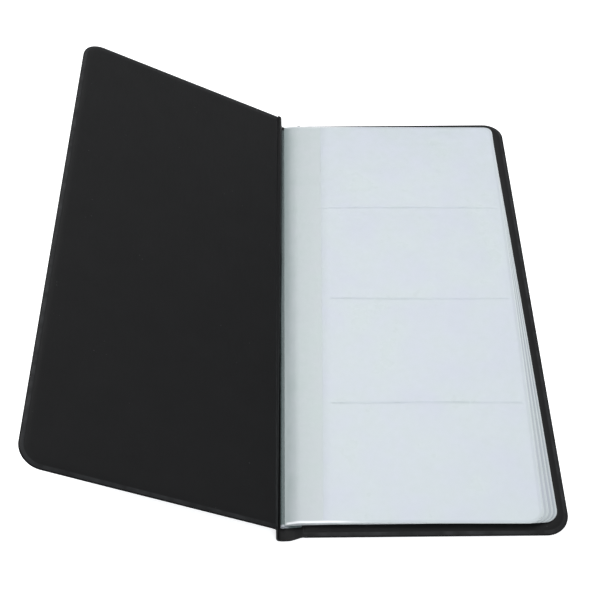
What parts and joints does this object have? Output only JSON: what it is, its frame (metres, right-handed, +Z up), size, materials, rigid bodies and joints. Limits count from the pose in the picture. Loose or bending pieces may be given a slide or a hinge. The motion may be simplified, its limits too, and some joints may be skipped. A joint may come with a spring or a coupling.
{
  "type": "coin album",
  "caption": "Tall narrow pocket album: soft black board-stiffened covers joined by a folding spine, with clear leaves whose pockets open towards the spine and hold flat coin or business cards.",
  "frame": {"origin": "middle of the flat underside of the rear cover, on the table", "axes": "+Z up from the table, +Y along the spine towards the head of the book, +X from the spine to the rear cover's free edge"},
  "size_m": [0.2175, 0.25, 0.0608],
  "materials": {
    "vinyl": "satin, fine grain",
    "lining": "matt, fine grain",
    "board": "matt",
    "binding": "satin",
    "sheet": "clear, soft gloss",
    "pocket_film": "clear, soft gloss"
  },
  "bodies": {
    "rear_cover": {"rear_cover_skin": "vinyl", "rear_cover_board": "board", "rear_cover_lining": "lining", "lower_spine_skin": "vinyl", "lower_spine_lining": "lining", "gutter_lining": "lining", "binding_base": "binding", "binding_wall": "binding"},
    "spine": {"spine_skin": "vinyl", "spine_lining": "lining"},
    "front_cover": {"front_cover_skin": "vinyl", "front_cover_board": "board", "front_cover_lining": "lining"},
    "leaf_1": {"leaf_1_sheet": "sheet", "leaf_1_pocket_film": "pocket_film"},
    "leaf_2": {"leaf_2_sheet": "sheet", "leaf_2_pocket_film": "pocket_film"},
    "leaf_3": {"leaf_3_sheet": "sheet", "leaf_3_pocket_film": "pocket_film"},
    "leaf_4": {"leaf_4_sheet": "sheet", "leaf_4_pocket_film": "pocket_film"},
    "leaf_5": {"leaf_5_sheet": "sheet", "leaf_5_pocket_film": "pocket_film"},
    "leaf_6": {"leaf_6_sheet": "sheet", "leaf_6_pocket_film": "pocket_film"},
    "leaf_7": {"leaf_7_sheet": "sheet", "leaf_7_pocket_film": "pocket_film"},
    "leaf_8": {"leaf_8_sheet": "sheet", "leaf_8_pocket_film": "pocket_film"}
  },
  "joints": [
    {"name": "spine_fold", "type": "hinge", "parent": "rear_cover", "child": "spine", "pos_m": [-0.05967, 0, 0.0024], "axis": [0, -1, 0], "range_deg": [0, 20]},
    {"name": "front_cover_fold", "type": "hinge", "parent": "spine", "child": "front_cover", "pos_m": [-0.05967, 0, 0.0089], "axis": [0, -1, 0], "range_deg": [-151.8, 11]},
    {"name": "leaf_1_turn", "type": "hinge", "parent": "rear_cover", "child": "leaf_1", "pos_m": [-0.0572, 0, 0.00211], "axis": [0, -1, 0], "range_deg": [0, 6]},
    {"name": "leaf_2_turn", "type": "hinge", "parent": "leaf_1", "child": "leaf_2", "pos_m": [-0.0572, 0, 0.00236], "axis": [0, -1, 0], "range_deg": [0, 6]},
    {"name": "leaf_3_turn", "type": "hinge", "parent": "leaf_2", "child": "leaf_3", "pos_m": [-0.0572, 0, 0.00261], "axis": [0, -1, 0], "range_deg": [0, 6]},
    {"name": "leaf_4_turn", "type": "hinge", "parent": "leaf_3", "child": "leaf_4", "pos_m": [-0.0572, 0, 0.00286], "axis": [0, -1, 0], "range_deg": [0, 6]},
    {"name": "leaf_5_turn", "type": "hinge", "parent": "leaf_4", "child": "leaf_5", "pos_m": [-0.0572, 0, 0.00311], "axis": [0, -1, 0], "range_deg": [0, 6]},
    {"name": "leaf_6_turn", "type": "hinge", "parent": "leaf_5", "child": "leaf_6", "pos_m": [-0.0572, 0, 0.00336], "axis": [0, -1, 0], "range_deg": [0, 6]},
    {"name": "leaf_7_turn", "type": "hinge", "parent": "leaf_6", "child": "leaf_7", "pos_m": [-0.0572, 0, 0.00361], "axis": [0, -1, 0], "range_deg": [0, 6]},
    {"name": "leaf_8_turn", "type": "hinge", "parent": "leaf_7", "child": "leaf_8", "pos_m": [-0.0572, 0, 0.00386], "axis": [0, -1, 0], "range_deg": [0, 72]}
  ]
}
